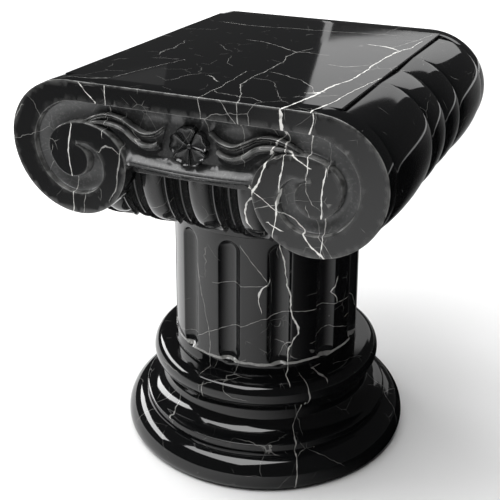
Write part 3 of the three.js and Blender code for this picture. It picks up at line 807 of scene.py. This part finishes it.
def makeFace():
    band = [tuple(p) for p in resampled(chain(face["band"] + [face["tip"]], 24), face["spacing"])]
    bandStart = np.array(face["band"][3])
    leave = int(np.argmin(np.linalg.norm(np.array(band) - bandStart, axis=1)))
    rimHalf, inner = band[: leave + 1], band[leave:]
    rimHalf[-1] = inner[0] = tuple(face["band"][3])
    outer = [tuple(p) for p in resampled(chain(face["channel"] + [face["tip"]], 24), face["spacing"])]
    lip = lipLine()
    top = [tuple(p) for p in resampled([(-face["band"][0][0], topZ), (face["band"][0][0], topZ)], 9)]
    fascia = [tuple(p) for p in resampled([(-face["channel"][0][0], face["fascia"]),
                                           (face["channel"][0][0], face["fascia"])], 4)]
    outline = rimHalf + lip[1:-1] + mirroredHalf(rimHalf) + top[1:-1]
    channelLine = mirroredHalf(outer) + fascia[1:-1] + outer
    recess = fascia[1:-1] + outer + inner[::-1][1:] + lip[1:-1]
    recess += mirroredHalf(inner[::-1][1:]) + mirroredHalf(outer)
    edges = {
        "outer": channelLine, "innerRight": inner, "innerLeft": mirroredHalf(inner), "recess": recess,
        "rim": mirroredHalf(rimHalf) + top[1:-1] + rimHalf,
    }
    rows = [outline + outline[:1], channelLine, inner, mirroredHalf(inner)]
    gap = [(1e4, 1e4)]  # keeps the edges apart
    wholeEdges = np.array(edges["outer"] + gap + edges["innerRight"] + gap + edges["innerLeft"])
    for distance, _ in face["wall"]:
        if distance:
            for curve in (channelLine, mirroredHalf(inner), inner[::-1]):
                rows += rowBeside(curve, -distance, wholeEdges)
    for distance, _ in face["arris"][1:]:
        rows += rowBeside(edges["rim"], -distance, edges["rim"])
    for distance, depth in face["lip"][1:]:
        rows.append([(x * (1 - 0.006 * distance), z + distance) for x, z in lip[1:-1]])
    places, links = [], []
    for row in rows:
        for k, point in enumerate(row):
            if k:
                links.append((len(places) - 1, len(places)))
            places.append(point)
    taken = np.array(places)
    xs, zs = np.arange(-voluteX, voluteX, 5.0), np.arange(312, topZ, 5.0)
    fill = np.array([(x + 2.5 * (j % 2), z) for j, z in enumerate(zs) for x in xs])
    fill = fill[isInside(fill, outline)]
    spans = [np.linalg.norm(fill[i : i + 200, None] - taken[None], axis=2) for i in range(0, len(fill), 200)]
    apart = np.concatenate([span.min(axis=1) for span in spans])
    places += [tuple(p) for p in fill[apart > 2.0]]
    spots, _, triangles, *_ = delaunay_2d_cdt([Vector(p) for p in places], links, [], 0, 1e-4, False)
    flat = np.array([tuple(p) for p in spots])
    centres = np.array([flat[list(t)].mean(axis=0) for t in triangles])
    kept = [tuple(t) for t, good in zip(triangles, isInside(centres, outline)) if good]
    depth, matt, edgeWearAndHighlight = channelDepth(flat, edges)
    front = np.column_stack([flat[:, 0], -faceY + depth, flat[:, 1]])
    sides = {}
    for t in kept:
        for a, b in ((t[0], t[1]), (t[1], t[2]), (t[2], t[0])):
            sides[(a, b)] = sides.get((a, b), 0) + 1
    border = {a: b for a, b in sides if (b, a) not in sides}
    first = next(iter(border))
    loop = [first]
    while border[loop[-1]] != first:
        loop.append(border[loop[-1]])
    back = front[loop].copy()
    back[:, 1] = -faceY + face["thickness"]
    count = len(front)
    n = len(loop)
    faces = [tuple(t) for t in kept]
    faces += [(loop[(k + 1) % n], loop[k], count + k, count + (k + 1) % n) for k in range(n)]
    faces += [tuple(count + k for k in range(n))[::-1]]
    matt, edgeWearAndHighlight = (np.concatenate([values, np.zeros(n)]) for values in (matt, edgeWearAndHighlight))
    addShell("front face", np.vstack([front, back]), faces, matt, edgeWearAndHighlight)
    addShell("back face", *turnedRound(shells[-1]))


makeFace()

# Leaves: each is two curled blades, given by their upper and lower edges from tip to root.
leaf = {
    "blades": [
        {
            "upper": [(23, 418), (33, 411), (46, 408.5), (58, 413.5), (72, 420), (88, 421.5), (103, 416.5),
                      (116, 409)],
            "lower": [(30, 399), (36, 396.5), (47, 396), (57, 400), (68, 408), (82, 411.5), (98, 411.5),
                      (113, 407.5)],
            "double": True,
        },
        {
            "upper": [(31, 402), (37, 398.5), (47, 397.5), (57, 402), (68, 410), (82, 413.5), (98, 413),
                      (112, 408.5)],
            "lower": [(30, 391), (37, 386.5), (49, 385), (61, 389), (71, 396.5), (82, 404), (95, 408.5),
                      (110, 406)],
            "double": False,
        },
    ],
    "along": 60, "foot": -179, "ground": -182.0, "hollow": 1.6,
    # down from a blade's upper edge: distance and height of its rim
    "doubleRim": [(0, 5.6), (0.35, 6.9), (0.8, 7.3), (1.3, 7.1), (1.9, 5.4), (2.5, 4.2), (3.1, 5.6),
                  (3.7, 6.3), (4.3, 5.8),
                  (4.9, 3.6), (5.6, 1.8), (8, 0.5)],
    "singleRim": [(0, 5.2), (0.35, 6.4), (0.8, 7.1), (1.9, 7.4), (3.1, 6.9), (4.3, 5.4), (5.6, 3.2),
                  (8, 1.0)],
}


def bladeHeights(across, width, double):
    fromEdge = across * width
    profile = leaf["doubleRim"] if double else leaf["singleRim"]
    rim = np.interp(fromEdge, *zip(*profile))
    dish = leaf["hollow"] * (0.45 + 1.3 * across ** 3)
    toFoot = width - fromEdge
    return np.maximum(rim, dish) * min(1, 0.35 + toFoot / 1.2)


def makeLeaves():
    cuts = [0.0, 0.0, 0.35, 0.8, 1.3, 1.9, 2.5, 3.1, 3.7, 4.3, 4.9, 5.6, 6.6, 8.0]
    for blade in leaf["blades"]:
        upper, lower = spline(blade["upper"], leaf["along"]), spline(blade["lower"], leaf["along"])
        places, worn = [], []
        for i in range(leaf["along"]):
            width = np.linalg.norm(upper[i] - lower[i])
            along = i / (leaf["along"] - 1)
            narrow = min(1, width / 11)
            shares = [min(cut * narrow / width, 0.8) for cut in cuts] + [0.86, 0.94, 1.0, 1.0]
            for k, share in enumerate(shares):
                spot = upper[i] + (lower[i] - upper[i]) * share
                rise = bladeHeights(share, width, blade["double"]) * (1 - 0.45 * max(0, along - 0.75) / 0.25)
                buried = k in (0, len(shares) - 1)
                places.append((spot[0], leaf["foot"] if buried else leaf["ground"] - rise, spot[1]))
                # painted highlight, partly wear: the raised rims of the blades are made pale
                worn.append(0.7 if rise > leaf["hollow"] * 2 and not buried else 0.0)
        rows, columns = leaf["along"], len(shares)
        faces = gridFaces(rows, columns, closed=True)
        faces += [tuple(range(columns)), tuple((rows - 1) * columns + k for k in range(columns))[::-1]]
        for mirror in (1, -1):
            spots = np.array(places) * (mirror, 1, 1)
            own = faces if mirror == 1 else [f[::-1] for f in faces]
            addShell("leaf blade", spots, own, 0.2, worn)
            addShell("leaf blade", *turnedRound(shells[-1]))


makeLeaves()

# Flower: five cupped petals with turned rims round a small boss.
flower = {
    "z": 400.5, "x": 1, "petals": 5, "phase": -0.14, "inner": 2.2, "reach": 20.0, "halfWidth": 9.6,
    "notch": 1.8,
    "long": 22, "wide": 18, "rim": 7.2, "cup": 2.6, "boss": 3.2, "bossGround": -183.5, "bossRise": 3.0,
    "foot": -179, "ground": -182,
}


def petalShell(turn):
    f = flower
    outward = np.array([math.sin(turn), math.cos(turn)])
    aside = np.array([outward[1], -outward[0]])
    middle = np.array([f["x"], f["z"]])
    places = []
    for i in range(f["long"] + 1):
        share = i / f["long"]
        for k in range(f["wide"] + 1):
            lean = 2 * k / f["wide"] - 1
            eased = math.sin(lean * math.pi / 2)
            end = f["reach"] - f["notch"] * (1 - abs(eased)) ** 2 - 4.5 * eased ** 4
            radius = f["inner"] + (end - f["inner"]) * math.sin(share * math.pi / 2)
            half = min(f["halfWidth"], radius * math.tan(math.pi / f["petals"]) - 0.55)
            flare = math.sqrt(max(0, 1 - max(0, (radius - 13.5) / 12) ** 2))
            edge = max(abs(eased), 1 - (end - radius) / 6.5, 0)
            height = f["cup"] + (f["rim"] - f["cup"]) * edge ** 3 * (0.45 + 0.55 * share)
            if edge > 0.93:
                height *= 0.82
            onBorder = i in (0, f["long"]) or k in (0, f["wide"])
            spot = middle + outward * radius + aside * max(half, 0.3) * flare * eased
            places.append((spot[0], f["foot"] if onBorder else f["ground"] - height, spot[1]))
    rows, columns = f["long"] + 1, f["wide"] + 1
    rim = list(range(columns)) + [columns * r + columns - 1 for r in range(1, rows)]
    rim += [columns * (rows - 1) + k for k in range(columns - 2, -1, -1)]
    rim += [columns * r for r in range(rows - 2, 0, -1)]
    return np.array(places), gridFaces(rows, columns) + [tuple(rim[::-1])]


def bossShell():
    places, n, rings = [], 16, 5
    for i in range(rings + 1):
        angle = math.pi / 2 * i / rings
        radius, rise = flower["boss"] * math.sin(angle), flower["bossRise"] * math.cos(angle)
        for k in range(n if i else 1):
            turn = 2 * math.pi * k / n
            places.append((flower["x"] + radius * math.cos(turn), flower["bossGround"] - rise,
                           flower["z"] + radius * math.sin(turn)))
    faces = [(0, 1 + k, 1 + (k + 1) % n) for k in range(n)]
    faces += [tuple(f) for f in (np.array(gridFaces(rings, n, closed=True)) + 1).tolist()]
    return np.array(places), faces + [tuple(range(len(places) - n, len(places)))]


def makeFlower():
    many = flower["petals"]
    petals = [petalShell(flower["phase"] + 2 * math.pi * i / many) for i in range(many)]
    for places, faces in [*petals, bossShell()]:
        addShell("flower", places, faces, 0.15)
        addShell("flower", *turnedRound(shells[-1]))


makeFlower()

# Plain masses: the thin plate of the top, the core, the strip and the bell under the rolls.
mass = {"topX": 142, "topZ0": 447.2, "coreX": 130, "coreZ0": 362, "stripX": 104, "stripY": 177,
        "stripZ": (362.8, 374)}


def prism(outline, y0, y1):
    n = len(outline)
    places = [(x, y, z) for y in (y0, y1) for x, z in outline]
    faces = [(k, (k + 1) % n, n + (k + 1) % n, n + k) for k in range(n)]
    return places, faces + [tuple(range(n))[::-1], tuple(range(n, 2 * n))]


def makeMasses():
    inner = faceY - face["thickness"]
    half, low = mass["topX"], mass["topZ0"]
    edge = softCorner((half, low), (half, topZ), (0, topZ), 1.0)
    slab = [(-half, low), (half, low), *edge, *[(-x, z) for x, z in reversed(edge)]]
    addShell("top plate", *prism(slab, -inner, inner))
    core = [(-mass["coreX"], mass["coreZ0"]), (mass["coreX"], mass["coreZ0"]), (mass["coreX"], low + 1),
            (-mass["coreX"], low + 1)]
    addShell("core", *prism(core, -inner - 0.5, inner + 0.5))
    z0, z1 = mass["stripZ"]
    strip = [(-mass["stripY"], z1), *softCorner((-mass["stripY"], z1), (-mass["stripY"], z0), (0, z0), 1.0)]
    strip += [(-x, z) for x, z in reversed(strip)]
    places, faces = prism(strip, -mass["stripX"], mass["stripX"])
    addShell("strip", [(y, x, z) for x, y, z in places], faces, 0.15)


def makeBell():
    places, n = [], 72
    levels = [(293, 110, 110, 2.0), (297, 113.5, 114, 2.1), (302, 116.5, 119, 2.4), (310, 119.5, 128, 3.2),
              (320, 121.5, 138, 4.5), (330, 122, 144, 6.0), (345, 122, 146, 7.0), (400, 122, 146, 8.0)]
    for z, a, b, power in levels:
        for k in range(n):
            angle = 2 * math.pi * k / n
            cosine, sine = math.cos(angle), math.sin(angle)
            places.append((a * math.copysign(abs(cosine) ** (2 / power), cosine),
                           b * math.copysign(abs(sine) ** (2 / power), sine), z))
    faces = gridFaces(len(levels), n, closed=True)
    last = (len(levels) - 1) * n
    addShell("bell", places, faces + [tuple(range(n))[::-1], tuple(range(last, last + n))])


makeMasses()
makeBell()


def joined():
    places, faces, carved, worn = [], [], [], []
    count = 0
    for spots, own, matt, edgeWearAndHighlight in shells:
        fans = [(f[0], f[i], f[i + 1]) for f in own for i in range(1, len(f) - 1)]
        volume = sum(np.dot(spots[a], np.cross(spots[b], spots[c])) for a, b, c in fans)
        faces += [tuple(count + k for k in (f if volume > 0 else f[::-1])) for f in own]
        places.append(spots * mm)
        carved.append(matt)
        worn.append(edgeWearAndHighlight)
        count += len(spots)
    mesh = bpy.data.meshes.new("marble_pedestal")
    mesh.from_pydata(np.vstack(places).tolist(), [], faces)
    mesh.validate()
    for name, values in (("carved", carved), ("worn", worn)):
        attribute = mesh.attributes.new(name, "FLOAT", "POINT")
        attribute.data.foreach_set("value", np.concatenate(values).astype(np.float32))
    mesh.shade_smooth()
    mesh.set_sharp_from_angle(angle=math.radians(48))
    mesh.materials.append(blackMarble)
    mesh.update()
    print("block joined,", sum(len(f.vertices) - 2 for f in mesh.polygons), "triangles")
    return mesh


pedestal = bpy.data.objects.new("marble_pedestal", joined())
bpy.context.scene.collection.objects.link(pedestal)
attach(pedestal, "root")
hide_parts(nodeName)

# Stage: a pale floor, a dark card that only reflections see, soft panels and the camera.
stage = {
    "floorRadius": 12.0, "floorColour": (0.82, 0.82, 0.82), "surround": 0.045, "backdrop": 1.0,
    "glowFrom": 1.3, "glowTo": 3.6, "glow": 0.9,  # the floor keeps its tone far from the lamps
    "cardHeight": 0.003, "cardReach": 6.0,
    # the dark card covers what lies to the right, and part of what lies in front to the left
    "cardSide": (0.94, 0.34), "sideFrom": -0.45, "sideTo": 0.85, "frontFrom": 0.45, "frontTo": 0.85,
    "leftFrom": 0.0, "leftTo": 0.75, "leftDark": 0.85,
}


def stageObject(name, places, shader):
    mesh = bpy.data.meshes.new(name)
    mesh.from_pydata(places, [], [tuple(range(len(places)))])
    made = bpy.data.objects.new(name, mesh)
    bpy.context.scene.collection.objects.link(made)
    material = bpy.data.materials.new(name)
    material.use_nodes = True
    for socket, value in shader.items():
        material.node_tree.nodes["Principled BSDF"].inputs[socket].default_value = value
    mesh.materials.append(material)
    return made


def makeFloor():
    n = 96
    radius = stage["floorRadius"]
    ring = [(radius * math.cos(2 * math.pi * k / n), radius * math.sin(2 * math.pi * k / n),
             0) for k in range(n)]
    floor = stageObject("floor", ring, {
        "Base Color": (*stage["floorColour"], 1), "Roughness": 0.8, "Specular IOR Level": 0.1,
        "Emission Strength": 1.0,
    })
    tree = floor.data.materials[0].node_tree
    away = Wire.node(tree, "ShaderNodeTexCoord", output="Object").vector("LENGTH", output="Value")
    glow = away.smooth(stage["glowFrom"], stage["glowTo"]) * stage["glow"]
    tree.links.new(xyz(tree, glow, glow, glow).socket, tree.nodes["Principled BSDF"].inputs["Emission Color"])


def makeCard():  # only reflections see it
    reach, height = stage["cardReach"], stage["cardHeight"]
    corners = [(-reach, -reach, height), (reach, -reach, height), (reach, reach, height),
               (-reach, reach, height)]
    card = stageObject("dark card", corners, {"Base Color": (0.003, 0.003, 0.003, 1), "Roughness": 1.0,
                                              "Specular IOR Level": 0.0})
    card.visible_camera = card.visible_diffuse = card.visible_shadow = False
    tree = card.data.materials[0].node_tree
    place = Wire.node(tree, "ShaderNodeTexCoord", output="Object").vector("MULTIPLY", (1, 1, 0))
    sideways = place.vector("NORMALIZE").vector("DOT_PRODUCT", (*stage["cardSide"], 0), output="Value")
    dark = sideways.smooth(stage["sideFrom"], stage["sideTo"])
    left = (-1 * part(place, 1)).smooth(stage["frontFrom"], stage["frontTo"])
    left = left * (-1 * part(place, 0)).smooth(stage["leftFrom"], stage["leftTo"]) * stage["leftDark"]
    shader = tree.nodes["Principled BSDF"]
    tree.links.new(dark.math("MAXIMUM", left).socket, shader.inputs["Alpha"])


def makePanel(name, place, aim, size, power, shade=(1, 1, 1)):
    light = bpy.data.lights.new(name, "AREA")
    light.shape = "RECTANGLE"
    light.size, light.size_y = size
    light.energy = power
    light.color = shade
    panel = bpy.data.objects.new(name, light)
    panel.location = place
    panel.rotation_euler = (Vector(aim) - Vector(place)).to_track_quat("-Z", "Y").to_euler()
    panel.visible_camera = False
    bpy.context.scene.collection.objects.link(panel)
    return panel


def makeLights():
    forward, right = Vector((-0.406, 0.914, 0)), Vector((0.914, 0.406, 0))

    def behind(side, height):
        return forward * 2.2 + right * side + Vector((0, 0, height))

    for name, side, height, size, power in (
        ("window", 0.79, 1.21, (1.15, 0.53), 1.65),
        ("window foot", 0.222, 0.78, (0.03, 0.34), 0.02),
        *(("window glow", -0.60, 1.02, (0.46 - 0.06 * k, 0.19 - 0.03 * k),
           0.016 - 0.0022 * k) for k in range(5)),
    ):
        makePanel(name, behind(side, height), behind(side, height) - forward, size, power)
    makePanel("left softbox", (-1.9, 0.1, 1.1), (0, 0, 0.25), (2.2, 0.5), 34)
    makePanel("overhead", (-0.45, -0.85, 2.6), (-0.1, -0.25, 0), (2.3, 1.9), 84)
    fill = makePanel("back fill", (-1.0, 2.6, 3.0), (-1.0, 2.6, 0), (4.4, 3.6), 125)
    fill.visible_glossy = False


view = {
    "place": (0.39029, -0.89732, 0.67526), "turns": (23.976, 25.012, 0.449),  # azimuth, pitch, lean
    "lens": 66.49, "shift": (-0.0204, -0.0031),
}


def makeCamera():
    data = bpy.data.cameras.new("camera")
    data.lens = view["lens"]
    data.sensor_width = 36
    data.shift_x, data.shift_y = view["shift"]
    camera = bpy.data.objects.new("camera", data)
    azimuth, pitch, lean = (math.radians(a) for a in view["turns"])
    forward = Vector((-math.sin(azimuth) * math.cos(pitch), math.cos(azimuth) * math.cos(pitch),
                      -math.sin(pitch)))
    level = Vector((math.cos(azimuth), math.sin(azimuth), 0))
    up = level.cross(forward)
    sideways = level * math.cos(lean) + up * math.sin(lean)
    upright = up * math.cos(lean) - level * math.sin(lean)
    turn = Matrix((sideways, upright, -forward)).transposed().to_4x4()
    camera.matrix_world = Matrix.Translation(view["place"]) @ turn
    bpy.context.scene.collection.objects.link(camera)
    bpy.context.scene.camera = camera


makeFloor()
makeCard()
makeLights()
makeCamera()
world = bpy.data.worlds.new("studio")
world.use_nodes = True
studio = world.node_tree.nodes["Background"]
seen = Wire.node(world.node_tree, "ShaderNodeLightPath", output="Is Camera Ray")
strength = seen * (stage["backdrop"] - stage["surround"]) + stage["surround"]
world.node_tree.links.new(strength.socket, studio.inputs["Strength"])
studio.inputs["Color"].default_value = (1, 1, 1, 1)
bpy.context.scene.world = world
bpy.context.scene.view_settings.view_transform = "Standard"
print("stage set")
